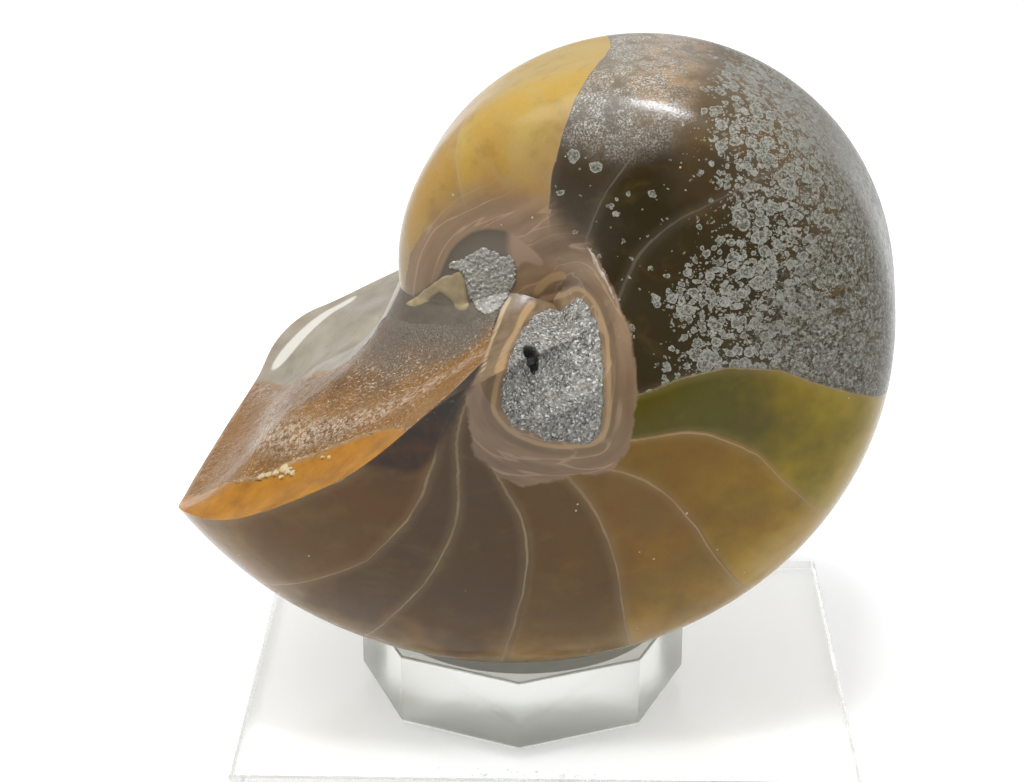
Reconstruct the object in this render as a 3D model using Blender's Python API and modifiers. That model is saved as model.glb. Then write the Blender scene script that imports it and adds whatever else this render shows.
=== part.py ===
# Fossil nautilus on a clear acrylic stand.
# Metres, +Z up, origin at the centre of the underside of the base slab.
# Three sub-parts: the polished fossil (one grown and mineralised piece), the
# dished riser block it rests in, and the square slab under the block.

import bpy
import bmesh
import math
import numpy as np
from mathutils import Matrix
from mathutils import Vector

# ---------------------------------------------------------------- dimensions
SLAB_WIDTH = 0.100
SLAB_DEPTH = 0.076
SLAB_THICKNESS = 0.005
SLAB_BEVEL = 0.0003

RISER_ACROSS_FLATS = 0.0506
RISER_SIDES = 8
RISER_HEIGHT = 0.0122
RISER_BEVEL = 0.0003
RISER_X = -0.0042
RISER_Y = -0.0022
DISH_RIM_RADIUS = 0.0244
DISH_SPHERE_RADIUS = 0.058
DISH_SEGMENTS = 72

CONTACT_GAP = 0.0003        # clearance left between pieces that rest on each other

COIL_CENTRE = (0.0069, -0.0030, 0.0780)
COIL_TURN_DEG = -7.0        # about the vertical
COIL_LEAN_DEG = 1.3         # about the left-right axis
MOUTH_DROP_DEG = 10.0       # how far the zero ray of the coil points below level
MOUTH_RADIUS = 0.0734       # coil centre to the outer edge on the zero ray
SPIRAL_RATE = 0.150         # shrinkage per radian going back from the mouth
WAVE_COS_1 = 0.016          # gentle departures from the true spiral
WAVE_SIN_1 = 0.037
WAVE_COS_2 = 0.020
WAVE_SIN_2 = 0.015

UMBILICAL_RATIO = 0.138     # umbilical shoulder radius over outer radius
HALF_WIDTH_RATIO = 0.608    # half width over outer radius
SECTION_ROUND = 0.825       # exponents of the rounded whorl section
SECTION_FLAT = 0.45

RIM_DEG = 20.3              # where the last septum meets the outside
RIM_SWEEP_DEG = 30.0        # how far the rim swings forward at the umbilicus
RIM_SWEEP_START = 0.62
RIM_BACK_LEAD_DEG = 1.1     # forward shift of the rim along the outer edge
RIM_SHOULDER_LEAD_DEG = 1.2
RIM_SHOULDER = 0.33         # where the outer edge turns into the flank
RIM_FAR_LEAD_DEG = 5.0      # the far flank is broken off further forward
ATTACH_DEG = 352.0          # where the septum meets the whorl inside it
ATTACH_SWEEP_DEG = 16.0
SEPTUM_REST = 0.14          # share of the forward lean taken up by mid height
SEPTUM_CURL = 7             # how late the septum curls forward onto the inner whorl
SEPTUM_SAG_DEG = 1.5        # hollow of the outer half
NEAR_HOLLOW_DEG = -2.0      # hollow beside the inner whorl, one side and the other
FAR_HOLLOW_DEG = 5.0
PLUG_RECESS = 0.0030        # how far the umbilical fill sits below its lip

AROUND = 76                 # loft divisions
ACROSS = 28
SEPTUM_ROWS = 14
PLUG_RINGS = 3


# ---------------------------------------------------------------- clean start
for old in list(bpy.data.objects):
    bpy.data.objects.remove(old, do_unlink=True)
scene = bpy.context.scene
parts = bpy.data.collections.new("fossil_nautilus_on_stand")
cutters = bpy.data.collections.new("cutters")
scene.collection.children.link(parts)
scene.collection.children.link(cutters)


def principled(name, colour, roughness):
    material = bpy.data.materials.new(name)
    material.use_nodes = True
    shader = material.node_tree.nodes["Principled BSDF"]
    shader.inputs["Base Color"].default_value = (*colour, 1.0)
    shader.inputs["Roughness"].default_value = roughness
    return material


def settle(obj, collection):
    for owner in list(obj.users_collection):
        owner.objects.unlink(obj)
    collection.objects.link(obj)


def only(obj):
    bpy.ops.object.select_all(action="DESELECT")
    obj.select_set(True)
    bpy.context.view_layer.objects.active = obj


def add_bevel(obj, width):
    bevel = obj.modifiers.new("edge", "BEVEL")
    bevel.width = width
    bevel.segments = 1
    bevel.limit_method = "ANGLE"
    bevel.angle_limit = math.radians(30.0)
    return bevel


fossil_stone = principled("fossil_calcite", (0.33, 0.20, 0.08), 0.22)
slab_acrylic = principled("acrylic_slab", (0.86, 0.90, 0.88), 0.08)
riser_acrylic = principled("acrylic_riser", (0.80, 0.87, 0.85), 0.08)

# ---------------------------------------------------------------- base slab
bpy.ops.mesh.primitive_cube_add(size=1.0, location=(0.0, 0.0, 0.5 * SLAB_THICKNESS))
slab = bpy.context.object
slab.name = "base_slab"
slab.scale = (SLAB_WIDTH, SLAB_DEPTH, SLAB_THICKNESS)
only(slab)
bpy.ops.object.transform_apply(location=True, rotation=True, scale=True)
slab.data.materials.append(slab_acrylic)
add_bevel(slab, SLAB_BEVEL)
settle(slab, parts)

# ---------------------------------------------------------------- riser block
riser_foot = SLAB_THICKNESS + CONTACT_GAP
riser_top = riser_foot + RISER_HEIGHT
corner_radius = 0.5 * RISER_ACROSS_FLATS / math.cos(math.pi / RISER_SIDES)
bpy.ops.mesh.primitive_cylinder_add(
    vertices=RISER_SIDES,
    radius=corner_radius,
    depth=RISER_HEIGHT,
    location=(RISER_X, RISER_Y, riser_foot + 0.5 * RISER_HEIGHT),
)
riser = bpy.context.object
riser.name = "riser_block"
only(riser)
bpy.ops.object.transform_apply(location=True, rotation=True, scale=True)
riser.data.materials.append(riser_acrylic)
add_bevel(riser, RISER_BEVEL)

dish_drop = math.sqrt(DISH_SPHERE_RADIUS ** 2 - DISH_RIM_RADIUS ** 2)
bpy.ops.mesh.primitive_uv_sphere_add(
    segments=DISH_SEGMENTS,
    ring_count=DISH_SEGMENTS,
    radius=DISH_SPHERE_RADIUS,
    location=(RISER_X, RISER_Y, riser_top + dish_drop),
)
dish = bpy.context.object
dish.name = "dish_cutter"
only(dish)
bpy.ops.object.transform_apply(location=True, rotation=True, scale=True)
dish.hide_render = True
dish.display_type = "WIRE"
settle(dish, cutters)
settle(riser, parts)
cut = riser.modifiers.new("dish", "BOOLEAN")
cut.operation = "DIFFERENCE"
cut.solver = "EXACT"
cut.object = dish


# ---------------------------------------------------------------- the fossil
# The outside is a spiral sweep of one rounded whorl section.  "around" runs
# back from the mouth in degrees, "across" runs from -1 on the far umbilical
# shoulder over 0 on the outer edge to +1 on the near umbilical shoulder.
def section_table():
    turn = np.radians(np.linspace(0.0, 90.0, 2001))
    out = UMBILICAL_RATIO + (1.0 - UMBILICAL_RATIO) * np.cos(turn) ** SECTION_ROUND
    out[-1] = UMBILICAL_RATIO
    side = HALF_WIDTH_RATIO * np.sin(turn) ** SECTION_FLAT
    run = np.concatenate([[0.0], np.cumsum(np.hypot(np.diff(out), np.diff(side)))])
    return run / run[-1], out, side


SECTION_RUN, SECTION_OUT, SECTION_SIDE = section_table()


def whorl_radius(around_deg):
    turn = np.radians(around_deg)
    wave = WAVE_COS_1 * np.cos(turn) + WAVE_SIN_1 * np.sin(turn)
    wave = wave + WAVE_COS_2 * np.cos(2.0 * turn) + WAVE_SIN_2 * np.sin(2.0 * turn)
    return MOUTH_RADIUS * np.exp(-SPIRAL_RATE * turn) * (1.0 + wave)


def smooth(share):
    share = np.clip(share, 0.0, 1.0)
    return share * share * (3.0 - 2.0 * share)


def rim_angle(across):
    off = np.abs(across)
    reach = np.clip((off - RIM_SWEEP_START) / (1.0 - RIM_SWEEP_START), 0.0, 1.0)
    back = RIM_BACK_LEAD_DEG * (1.0 - smooth((off - RIM_SHOULDER) / 0.2))
    shoulder = RIM_SHOULDER_LEAD_DEG * np.exp(-(((off - RIM_SHOULDER) / 0.08) ** 2))
    far = RIM_FAR_LEAD_DEG * smooth((-across - 0.27) / 0.19)
    return RIM_DEG - back - shoulder - far - RIM_SWEEP_DEG * reach ** 3


def attach_angle(across):
    return ATTACH_DEG - ATTACH_SWEEP_DEG * smooth((np.abs(across) - 0.6) / 0.3)


def place(around_deg, radial, side):
    ray = np.radians(around_deg + MOUTH_DROP_DEG)
    return np.stack([-radial * np.cos(ray), -side, -radial * np.sin(ray)], axis=-1)


def outer_point(around_deg, across):
    radius = whorl_radius(around_deg)
    out = np.interp(np.abs(across), SECTION_RUN, SECTION_OUT)
    side = np.sign(across) * np.interp(np.abs(across), SECTION_RUN, SECTION_SIDE)
    return place(around_deg, radius * out, radius * side)


def septum_point(share, across):
    start = rim_angle(across)
    end = attach_angle(across) - 360.0
    outer_radius = whorl_radius(start)
    inner_radius = whorl_radius(end + 360.0)
    radius = outer_radius * (1.0 - share) + inner_radius * share
    off = np.abs(across)
    lean = SEPTUM_REST * smooth(2.0 * share) + (1.0 - SEPTUM_REST) * share ** SEPTUM_CURL
    sag = SEPTUM_SAG_DEG * math.sin(math.pi * min(2.0 * share, 1.0)) * (1.0 - off ** 4)
    beside = np.where(across < 0.0, FAR_HOLLOW_DEG, NEAR_HOLLOW_DEG)
    beside = beside * smooth((off - 0.03) / 0.35) * (1.0 - off ** 5)
    beside = beside * math.sin(math.pi * share ** 1.5) ** 1.5
    around_deg = start * (1.0 - lean) + end * lean + sag + beside
    out = np.interp(off, SECTION_RUN, SECTION_OUT)
    side = np.sign(across) * np.interp(off, SECTION_RUN, SECTION_SIDE)
    return place(around_deg, radius * out, radius * side)


def fossil_rows():
    across = np.linspace(-1.0, 1.0, ACROSS + 1)
    rows = []
    for step in range(AROUND + 1):
        share = step / AROUND
        around_deg = rim_angle(across) * (1.0 - share) + attach_angle(across) * share
        rows.append(outer_point(around_deg, across))
    for step in range(1, SEPTUM_ROWS):
        share = 1.0 - step / SEPTUM_ROWS
        rows.append(septum_point(share, across))
    return np.array(rows)


rows = fossil_rows()
row_count = len(rows)
mesh_points = bmesh.new()
grid = []
for row in rows:
    grid.append([mesh_points.verts.new(tuple(point)) for point in row])
for i in range(row_count):
    following = (i + 1) % row_count
    for j in range(ACROSS):
        corners = (grid[i][j], grid[i][j + 1], grid[following][j + 1], grid[following][j])
        mesh_points.faces.new(corners)

# Umbilical fill: rings shrinking from the spiral lip to a sunken middle.
for column in (0, ACROSS):
    lip = rows[:, column, :]
    sign = 1.0 if column == ACROSS else -1.0
    middle = lip[: AROUND + 1].mean(axis=0)
    middle = middle + np.array([0.0, sign * PLUG_RECESS, 0.0])
    previous = [grid[i][column] for i in range(row_count)]
    for ring in range(1, PLUG_RINGS + 1):
        share = ring / (PLUG_RINGS + 1)
        drop = PLUG_RECESS * math.sin(0.5 * math.pi * share)
        here = lip * (1.0 - share) + middle * share
        here[:, 1] = here[:, 1] + sign * drop * (1.0 - share)
        current = [mesh_points.verts.new(tuple(point)) for point in here]
        for i in range(row_count):
            following = (i + 1) % row_count
            corners = (previous[i], previous[following], current[following], current[i])
            mesh_points.faces.new(corners)
        previous = current
    hub = mesh_points.verts.new(tuple(middle))
    for i in range(row_count):
        following = (i + 1) % row_count
        mesh_points.faces.new((previous[i], previous[following], hub))

bmesh.ops.recalc_face_normals(mesh_points, faces=mesh_points.faces)
fossil_mesh = bpy.data.meshes.new("fossil_nautilus")
mesh_points.to_mesh(fossil_mesh)
mesh_points.free()
fossil = bpy.data.objects.new("fossil_nautilus", fossil_mesh)
parts.objects.link(fossil)
fossil.data.materials.append(fossil_stone)
turn = Matrix.Rotation(math.radians(COIL_TURN_DEG), 4, "Z")
lean = Matrix.Rotation(math.radians(COIL_LEAN_DEG), 4, "X")
fossil.matrix_world = Matrix.Translation(Vector(COIL_CENTRE)) @ turn @ lean
only(fossil)
bpy.ops.object.transform_apply(location=True, rotation=True, scale=True)
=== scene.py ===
import math

import bpy
import numpy as np
from mathutils import Matrix, Vector, noise
from mathutils.bvhtree import BVHTree


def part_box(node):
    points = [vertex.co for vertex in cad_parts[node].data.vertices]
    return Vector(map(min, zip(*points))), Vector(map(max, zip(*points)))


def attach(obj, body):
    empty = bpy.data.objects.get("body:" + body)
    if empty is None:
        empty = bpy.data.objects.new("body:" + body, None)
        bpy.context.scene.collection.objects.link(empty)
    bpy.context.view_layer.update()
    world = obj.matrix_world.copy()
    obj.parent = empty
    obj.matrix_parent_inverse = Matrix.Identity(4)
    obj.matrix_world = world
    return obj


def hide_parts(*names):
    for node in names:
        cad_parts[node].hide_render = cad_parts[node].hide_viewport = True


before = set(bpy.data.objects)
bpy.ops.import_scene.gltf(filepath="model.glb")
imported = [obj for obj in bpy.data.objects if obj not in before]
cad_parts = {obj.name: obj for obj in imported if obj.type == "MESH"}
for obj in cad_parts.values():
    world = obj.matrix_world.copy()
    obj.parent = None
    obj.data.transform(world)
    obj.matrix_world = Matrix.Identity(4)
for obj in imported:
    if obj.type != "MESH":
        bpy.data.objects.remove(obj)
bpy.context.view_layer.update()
bpy.ops.object.select_all(action="DESELECT")
scene = bpy.context.scene
scene.view_settings.view_transform = "Standard"
LIGHT_BOUNCES = 32
scene.cycles.max_bounces = LIGHT_BOUNCES
scene.cycles.glossy_bounces = LIGHT_BOUNCES
scene.cycles.transmission_bounces = LIGHT_BOUNCES


# ---------------------------------------------------------------- base slab
# The foot of the stand: a rectangular slab of clear cast acrylic, sawn, with
# flame-polished edges. The riser is cemented on it. A few hairline scratches.
MM = 0.001
ACRYLIC_IOR = 1.49


def new_finish(name):
    material = bpy.data.materials.new(name)
    material.use_nodes = True
    tree = material.node_tree
    return material, tree, tree.nodes["Principled BSDF"]


def node(tree, kind, inputs=None, **settings):
    made = tree.nodes.new(kind)
    for key, value in settings.items():
        setattr(made, key, value)
    for key, value in (inputs or {}).items():
        if isinstance(value, bpy.types.NodeSocket):
            tree.links.new(value, made.inputs[key])
        else:
            made.inputs[key].default_value = value
    return made


def tree_of(*inputs):
    """The node tree that these inputs come from."""
    return next(i.id_data for i in inputs if isinstance(i, bpy.types.NodeSocket))


def sums(operation, first, second=0.0, third=0.0):
    inputs = {0: first, 1: second, 2: third}
    tree = tree_of(first, second, third)
    return node(tree, "ShaderNodeMath", inputs, operation=operation).outputs[0]


def scaled(first, factor, offset):
    return sums("MULTIPLY_ADD", first, factor, offset)


def step_up(value, low, high):
    made = node(
        tree_of(value),
        "ShaderNodeMapRange",
        {"Value": value, "From Min": low, "From Max": high},
        interpolation_type="SMOOTHSTEP",
    )
    return made.outputs["Result"]


def paint(code):
    """A hex colour as linear red, green, blue and alpha."""
    shares = [int(code[i:i + 2], 16) / 255.0 for i in (1, 3, 5)]
    linear = [s / 12.92 if s <= 0.04045 else ((s + 0.055) / 1.055) ** 2.4 for s in shares]
    return (*linear, 1.0)


def vectors(operation, *given):
    """The same as sums, for points and directions."""
    inputs = dict(enumerate(given))
    made = node(tree_of(*given), "ShaderNodeVectorMath", inputs, operation=operation)
    return made.outputs["Value" if operation == "LENGTH" else "Vector"]


def place_mm(tree):
    """The point on the piece in millimetres."""
    spot = node(tree, "ShaderNodeTexCoord").outputs["Object"]
    return vectors("MULTIPLY", spot, 3 * (1.0 / MM,))


def cloud(spot, scale, detail=3.0, rough=0.55, warp=0.0):
    made = node(
        tree_of(spot),
        "ShaderNodeTexNoise",
        {"Vector": spot, "Scale": scale, "Detail": detail, "Roughness": rough, "Distortion": warp},
    )
    return made.outputs["Fac"]


def drawn_out(spot, scale, turn):
    """The point, stretched and turned, for streaks that run one way."""
    inputs = {"Vector": spot, "Scale": scale, "Rotation": turn}
    made = node(tree_of(spot), "ShaderNodeMapping", inputs)
    return made.outputs[0]


def bump(height, strength, distance, under=None):
    inputs = {"Height": height, "Strength": strength, "Distance": distance}
    if under is not None:
        inputs["Normal"] = under
    return node(tree_of(height), "ShaderNodeBump", inputs).outputs["Normal"]


def wear(shader, colour, rough, relief):
    """Gives a finish its colour, its roughness and its fine relief."""
    given = {"Base Color": colour, "Roughness": rough, "Normal": relief}
    for name, value in given.items():
        if isinstance(value, bpy.types.NodeSocket):
            value.id_data.links.new(value, shader.inputs[name])
        else:
            shader.inputs[name].default_value = value


def clear_acrylic(name, tint, absorb, density, polish):
    material, tree, shader = new_finish(name)
    shader.inputs["Transmission Weight"].default_value = 1.0
    shader.inputs["IOR"].default_value = ACRYLIC_IOR
    spot = place_mm(tree)
    stretched = drawn_out(spot, (0.05, 1.6, 1.6), (0.0, 0.0, 0.5))
    scratch = step_up(cloud(stretched, 1.0, 2.0), 0.70, 0.74)
    haze = step_up(cloud(spot, 0.06, 4.0), 0.45, 0.75)
    rough = scaled(haze, 0.03, polish)
    rough = scaled(scratch, 0.05, rough)
    wear(shader, paint(tint), rough, bump(cloud(spot, 0.12, 2.0), 0.05, 0.0004))
    volume = node(tree, "ShaderNodeVolumeAbsorption", {"Color": paint(absorb), "Density": density})
    tree.links.new(volume.outputs[0], tree.nodes["Material Output"].inputs["Volume"])
    return material


slab_acrylic = clear_acrylic("slab_acrylic", "#fcfcfa", "#cfd2c4", 2.5, 0.07)
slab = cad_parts["base_slab"]
slab.data.materials.clear()
slab.data.materials.append(slab_acrylic)


# ---------------------------------------------------------------- riser block
# A block of the same clear acrylic with eight side faces. Its top is turned
# to a shallow dish that carries the fossil. Cemented on the slab.
def only(obj):
    bpy.ops.object.select_all(action="DESELECT")
    obj.select_set(True)
    bpy.context.view_layer.objects.active = obj


riser_low, riser_high = (Vector(corner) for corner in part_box("riser_block"))
riser_middle = 0.5 * (riser_low + riser_high)
riser_height = riser_high.z - riser_low.z
RISER_SIDES = 8
RISER_FLATS = 0.0506
RISER_BEVEL = 0.0003
DISH_RIM = 0.0244
DISH_SPHERE = 0.058
bpy.ops.mesh.primitive_cylinder_add(
    vertices=RISER_SIDES,
    radius=0.5 * RISER_FLATS / math.cos(math.pi / RISER_SIDES),
    depth=riser_height,
    location=riser_middle,
)
riser = bpy.context.object
riser.name = "riser"
bpy.ops.object.transform_apply(location=True, rotation=True, scale=True)
bpy.ops.mesh.primitive_uv_sphere_add(
    segments=192,
    ring_count=192,
    radius=DISH_SPHERE,
    location=(
        riser_middle.x,
        riser_middle.y,
        riser_high.z + math.sqrt(DISH_SPHERE ** 2 - DISH_RIM ** 2),
    ),
)
dish = bpy.context.object
only(riser)
cut = riser.modifiers.new("dish", "BOOLEAN")
cut.operation = "DIFFERENCE"
cut.solver = "EXACT"
cut.object = dish
bpy.ops.object.modifier_apply(modifier="dish")
bpy.data.objects.remove(dish, do_unlink=True)
edge = riser.modifiers.new("edge", "BEVEL")
edge.width = RISER_BEVEL
edge.segments = 2
edge.limit_method = "ANGLE"
edge.angle_limit = math.radians(15.0)
bpy.ops.object.modifier_apply(modifier="edge")
bpy.ops.object.shade_smooth_by_angle(angle=math.radians(14.0))


def times(first, second):
    return sums("MULTIPLY", first, second)


def ramp(factor, stops, smooth_steps=False):
    made = node(tree_of(factor), "ShaderNodeValToRGB", {"Fac": factor})
    made.color_ramp.interpolation = "LINEAR" if smooth_steps else "CONSTANT"
    elements = made.color_ramp.elements
    while len(elements) > 1:
        elements.remove(elements[-1])
    elements[0].position = stops[0][0]
    elements[0].color = paint(stops[0][1])
    for place, code in stops[1:]:
        elements.new(place).color = paint(code)
    return made.outputs["Color"]


def mottled(spot, scale, stops, detail=3.0, rough=0.55):
    """A colour that drifts between a few tones."""
    return ramp(cloud(spot, scale, detail, rough), stops, True)


def turned_dish():
    material, tree, shader = new_finish("turned_dish")
    spot = place_mm(tree)
    from_axis = vectors("SUBTRACT", spot, riser_middle / MM)
    away = vectors("LENGTH", vectors("MULTIPLY", from_axis, (1.0, 1.0, 0.0)))
    rings = sums("SINE", times(away, 22.0))
    tone = mottled(spot, 0.4, [(0.3, "#d2d6ca"), (0.7, "#e0e4da")])
    shader.inputs["Transmission Weight"].default_value = 0.45
    shader.inputs["IOR"].default_value = ACRYLIC_IOR
    wear(shader, tone, scaled(cloud(spot, 0.8), 0.2, 0.35), bump(rings, 0.2, 0.00003))
    return material


riser.data.materials.append(clear_acrylic("riser_acrylic", "#fcfcf8", "#bfc4b2", 2.5, 0.14))
riser.data.materials.append(turned_dish())
for face in riser.data.polygons:
    if face.normal.z > 0.3 and face.center.z < riser_high.z - 0.00002:
        face.material_index = 1
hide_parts("riser_block")
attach(riser, "root")


# ---------------------------------------------------------------- fossil coil
# The polished nautilus: calcite-filled chambers under a ground and polished
# outside, one coil cut back to the last septum. It lies in the riser's dish.

# The whorl's radius shrinks along a spiral with a slight wave in it. Around it,
# angles run back from the mouth. Across it, places run from -1 to 1, from hub
# to hub, and its outer edge is at 0.
MOUTH_DROP_DEG = 10.0
MOUTH_RADIUS = 0.0734
SPIRAL_RATE = 0.150
WAVE = (0.016, 0.037, 0.020, 0.015)
UMBILICAL_RATIO = 0.138
HALF_WIDTH_RATIO = 0.608
SECTION_ROUND = 0.825
SECTION_FLAT = 0.45
RIM_DEG = 20.3
ATTACH_DEG = 352.0
PLUG_RECESS = 0.0030
AROUND = 430
SEPTUM_ROWS = 110
ACROSS = 150
CAP_RINGS = 11


def section_table():
    turn = np.radians(np.linspace(0.0, 90.0, 2001))
    out = UMBILICAL_RATIO + (1.0 - UMBILICAL_RATIO) * np.cos(turn) ** SECTION_ROUND
    out[-1] = UMBILICAL_RATIO
    side = HALF_WIDTH_RATIO * np.sin(turn) ** SECTION_FLAT
    run = np.concatenate([[0.0], np.cumsum(np.hypot(np.diff(out), np.diff(side)))])
    return run / run[-1], out, side


SECTION_RUN, SECTION_OUT, SECTION_SIDE = section_table()


def smooth(share):
    share = np.clip(share, 0.0, 1.0)
    return share * share * (3.0 - 2.0 * share)


def whorl_radius(around_deg):
    turn = np.radians(around_deg)
    wave = WAVE[0] * np.cos(turn) + WAVE[1] * np.sin(turn)
    wave = wave + WAVE[2] * np.cos(2.0 * turn) + WAVE[3] * np.sin(2.0 * turn)
    return MOUTH_RADIUS * np.exp(-SPIRAL_RATE * turn) * (1.0 + wave)


def rim_angle(across):
    off = np.abs(across)
    reach = np.clip((off - 0.62) / 0.38, 0.0, 1.0)
    back = 1.1 * (1.0 - smooth((off - 0.33) / 0.2))
    shoulder = 1.2 * np.exp(-(((off - 0.33) / 0.08) ** 2))
    far = 5.0 * smooth((-across - 0.27) / 0.19)
    return RIM_DEG - back - shoulder - far - 30.0 * reach ** 3


def attach_angle(across):
    return ATTACH_DEG - 16.0 * smooth((np.abs(across) - 0.6) / 0.3)


def coil_point(around_deg, across, radius):
    off = np.abs(across)
    out = radius * np.interp(off, SECTION_RUN, SECTION_OUT)
    side = radius * np.sign(across) * np.interp(off, SECTION_RUN, SECTION_SIDE)
    ray = np.radians(around_deg + MOUTH_DROP_DEG)
    return np.stack([-out * np.cos(ray), -side, -out * np.sin(ray)], axis=-1)


def outer_point(around_deg, across):
    return coil_point(around_deg, across, whorl_radius(around_deg))


def septum_point(share, across):
    start = rim_angle(across)
    end = attach_angle(across) - 360.0
    radius = whorl_radius(start) * (1.0 - share) + whorl_radius(end + 360.0) * share
    off = np.abs(across)
    lean = 0.14 * smooth(2.0 * share) + 0.86 * share ** 7
    sag = 1.5 * np.sin(math.pi * np.minimum(2.0 * share, 1.0)) * (1.0 - off ** 4)
    beside = np.where(across < 0.0, 5.0, -2.0)
    beside = beside * smooth((off - 0.03) / 0.35) * (1.0 - off ** 5)
    beside = beside * np.abs(np.sin(math.pi * share ** 1.5)) ** 1.5
    return coil_point(start * (1.0 - lean) + end * lean + sag + beside, across, radius)


# Where each chamber wall meets the outside, front to back: its place on the
# outer edge and on the mid flank in degrees, its slope and hook further in.
SUTURES = [
    (28.2, 39.0, 0.0, 52.0),
    (46.7, 51.0, 0.0, 60.0),
    (68.1, 71.0, 0.0, 72.0),
    (88.5, 92.2, 0.0, 49.0),
    (110.7, 113.5, 0.0, 90.0),
    (128.0, 138.0, 0.0, 112.0),
    (153.4, 161.8, 0.0, 67.0),
    (205.0, 216.0, 43.0, 36.0),
    (231.0, 245.5, 42.0, 10.0),
    (256.5, 271.0, 39.0, 0.0),
    (294.2, 313.0, 93.0, 0.0),
    (323.0, 350.0, 78.0, 0.0),
]


def suture_angle(wall, across):
    edge_deg, flank_deg, slope, hook = SUTURES[wall]
    off = np.abs(across)
    inner = np.maximum(off - 0.6, 0.0)
    outer = edge_deg + (flank_deg - edge_deg) * (np.minimum(off, 0.6) / 0.6) ** 1.8
    return outer + slope * inner - hook * (inner / 0.4) ** 3.54


def chamber_count(around_deg, across):
    """Chambers counted back from the rim, whole at each wall, and their width in degrees."""
    walls = [rim_angle(across)] + [suture_angle(i, across) for i in range(len(SUTURES))]
    walls.append(walls[-1] + 36.0)
    count = np.zeros_like(around_deg)
    width = np.full_like(around_deg, 30.0)
    for i in range(len(walls) - 1):
        gap = np.maximum(walls[i + 1] - walls[i], 3.0)
        inside = around_deg >= walls[i]
        count = np.where(inside, i + (around_deg - walls[i]) / gap, count)
        width = np.where(inside, gap, width)
    return count, width


CORNER_CUTS = 3


def rounded(outline, closed=True):
    """The outline with its corners cut, by halves."""
    line = np.array(outline, dtype=float)
    for _ in range(CORNER_CUTS):
        following = np.roll(line, -1, axis=0) if closed else line[1:]
        start = line if closed else line[:-1]
        cut_line = np.empty((2 * len(start), line.shape[1]))
        cut_line[0::2] = 0.75 * start + 0.25 * following
        cut_line[1::2] = 0.25 * start + 0.75 * following
        line = cut_line if closed else np.vstack([line[:1], cut_line, line[-1:]])
    return line


def line_distance(points, line, closed=False):
    ends = np.roll(line, -1, axis=0) if closed else line[1:]
    best = np.full(len(points), 1e9)
    for start, end in zip(line, ends):
        along = end - start
        share = np.clip((points - start) @ along / max(along @ along, 1e-12), 0.0, 1.0)
        best = np.minimum(best, np.linalg.norm(points - start - share[:, None] * along, axis=1))
    return best


def inside_distance(points, outline):
    """Distance to a closed outline, positive inside it."""
    line = rounded(outline)
    inside = np.zeros(len(points), dtype=bool)
    for start, end in zip(line, np.roll(line, -1, axis=0)):
        crosses = (start[1] > points[:, 1]) != (end[1] > points[:, 1])
        share = (points[:, 1] - start[1]) / ((end[1] - start[1]) or 1e-12)
        meet = start[0] + share * (end[0] - start[0])
        inside ^= crosses & (points[:, 0] < meet)
    return np.where(inside, 1.0, -1.0) * line_distance(points, line, closed=True)


# Outlines on the flank, in millimetres from the coil's middle: forward is
# minus in the first number, and up is plus in the second.
RING_OUTLINE = [
    (-4.2, 16.4), (-1.4, 13.2), (1.7, 11.9), (4.1, 9.1), (6.2, 5.3), (8.4, 2.0), (9.7, -2.4),
    (10.2, -8.1), (9.6, -12.9), (8.5, -17.4), (6.2, -18.8), (2.0, -18.9), (-2.3, -19.8),
    (-6.6, -19.9), (-8.7, -18.1), (-10.1, -16.1), (-11.6, -14.8), (-12.4, -13.6), (-12.8, -11.0),
    (-12.8, -6.5), (-12.9, -2.4), (-15.0, -3.6), (-22.0, -6.0), (-29.6, -6.0), (-28.0, 1.0),
    (-25.8, 8.0), (-22.5, 13.4), (-17.0, 17.5), (-12.0, 18.5), (-8.0, 18.0),
]
# The arch outline marks the recess under the outer whorl; its dark grey is partly rock and partly
# painted shade.
ARCH_OUTLINE = [
    (-29.4, -3.2), (-26.5, -0.7), (-24.1, 1.4), (-22.0, 3.4), (-21.2, 5.6), (-20.4, 7.6),
    (-19.0, 9.6), (-17.0, 11.3), (-14.6, 12.4), (-11.6, 12.6), (-9.6, 11.9), (-7.6, 10.5),
    (-5.8, 9.0), (-5.0, 7.6), (-6.2, 7.0), (-8.6, 7.8), (-9.6, 5.4), (-9.9, 2.6), (-10.8, 0.6),
    (-14.0, -2.6), (-20.0, -5.0), (-27.0, -6.5),
]
PLUG_OUTLINE = [
    (0.3, 4.2), (2.2, 3.4), (3.5, 1.6), (4.3, -0.3), (4.9, -3.0), (5.3, -6.4), (5.4, -10.5),
    (4.9, -12.9), (3.7, -13.6), (1.5, -13.4), (-0.6, -13.1), (-3.0, -12.1), (-5.5, -10.3),
    (-7.0, -8.5), (-8.5, -5.2), (-8.3, -3.2), (-7.9, -0.8), (-7.2, 0.0), (-5.4, 0.8), (-2.6, 1.8),
    (-1.0, 3.0),
]
STREAK_LINE = [
    (-2.3, -20.0, 6.2), (-4.6, -19.4, 5.3), (-6.3, -19.0, 3.2), (-7.1, -19.6, 1.2),
    (-8.4, -22.0, -0.2), (-9.0, -31.0, -0.6), (-8.8, -38.0, 0.0), (-8.8, -43.0, -0.4),
]
EDGE_LINE = [
    (-10.7, -19.0, 1.6), (-11.5, -20.0, 0.0), (-12.1, -23.0, -1.8), (-12.5, -26.0, -2.8),
    (-11.9, -34.0, -1.9), (-11.2, -41.0, -0.9), (-11.2, -44.0, -0.8), (-12.4, -46.0, -2.6),
]
WEDGE_OUTLINE = [
    (-11.2, -0.4), (-12.6, -1.9), (-13.9, -5.4), (-15.5, -8.7), (-16.8, -11.5), (-18.9, -15.2),
    (-21.4, -16.9), (-24.6, -16.0), (-28.0, -15.8), (-33.0, -17.0), (-34.0, -12.0), (-27.0, -6.0),
    (-19.0, -1.0), (-13.0, 1.6),
]
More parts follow.
